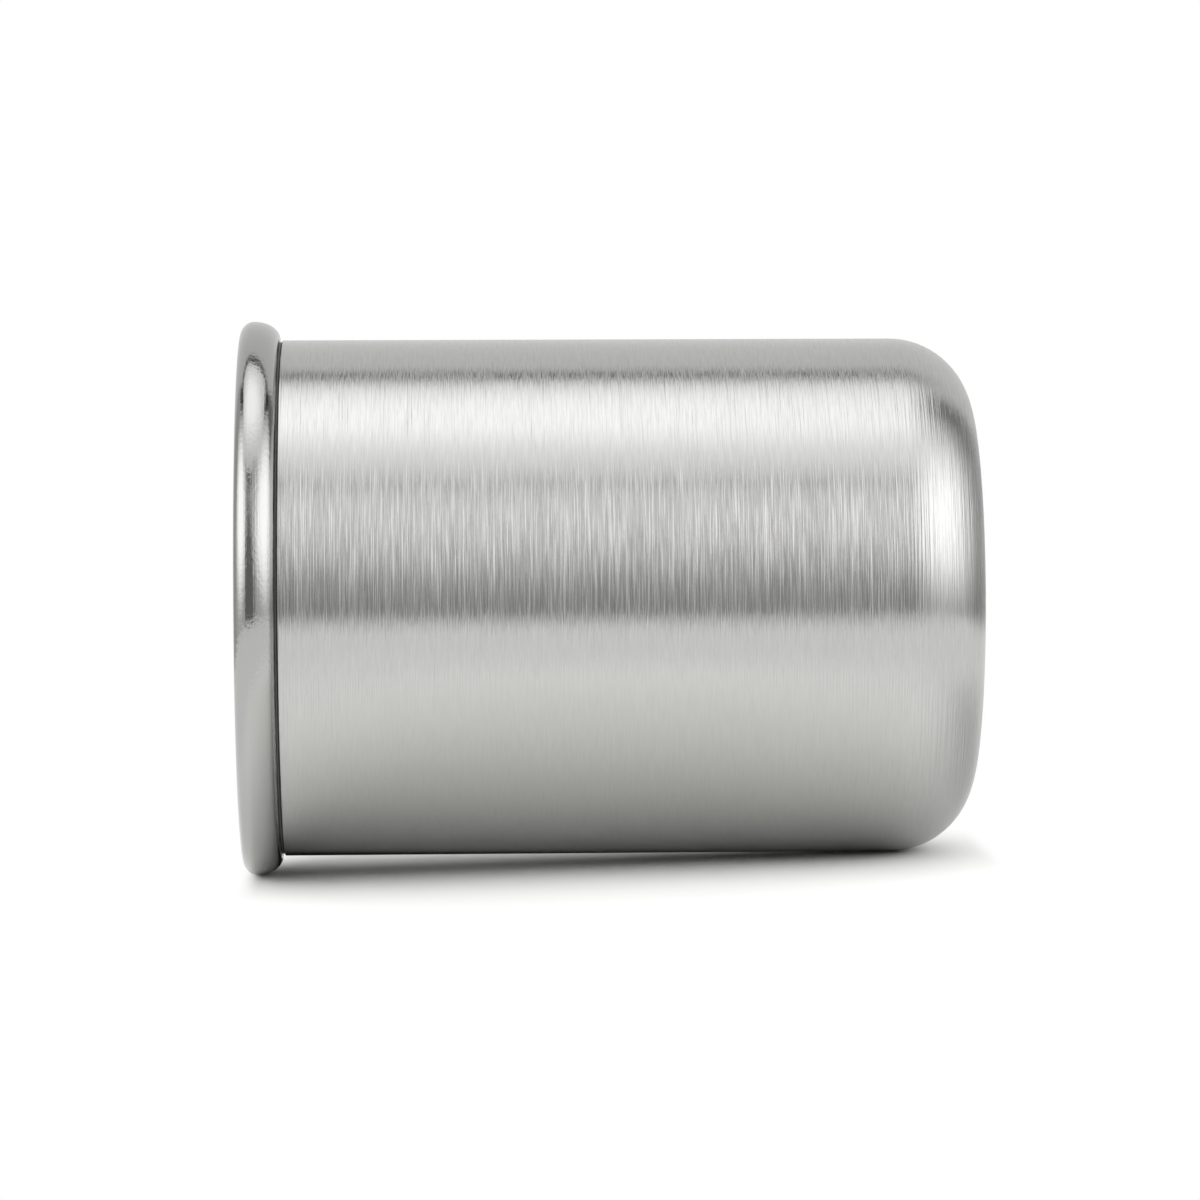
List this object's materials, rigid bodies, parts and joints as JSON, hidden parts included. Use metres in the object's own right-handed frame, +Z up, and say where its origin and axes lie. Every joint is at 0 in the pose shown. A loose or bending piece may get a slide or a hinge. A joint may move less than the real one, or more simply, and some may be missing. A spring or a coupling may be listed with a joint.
{
  "type": "stainless steel tumbler",
  "caption": "Double-wall stainless steel drinking tumbler with a straight brushed body, a rounded base corner and a thick rolled lip.",
  "frame": {"origin": "centre of the resting face under the base", "axes": "+Z up the tumbler's axis from the base to the lip; X and Y are alike, because the tumbler is round"},
  "size_m": [0.0816, 0.0816, 0.1075],
  "materials": {
    "brushed_steel_shell": "brushed round the body",
    "satin_steel_liner": "satin polish",
    "braze_filler": "as cast, dull",
    "copper_foil": "bright rolled foil",
    "spring_steel_strip": "rolled strip",
    "sintered_getter": "pressed powder, matt",
    "solder_glass": "fused, glossy and opaque",
    "brushed_steel_disc": "turned in fine circles"
  },
  "bodies": {
    "root": {"outer_shell": "brushed_steel_shell", "inner_liner": "satin_steel_liner", "rim_braze_ring": "braze_filler", "insulation_foil": "copper_foil", "getter_clip": "spring_steel_strip", "getter_pellet": "sintered_getter", "vacuum_seal": "solder_glass", "base_disc": "brushed_steel_disc"}
  },
  "joints": []
}
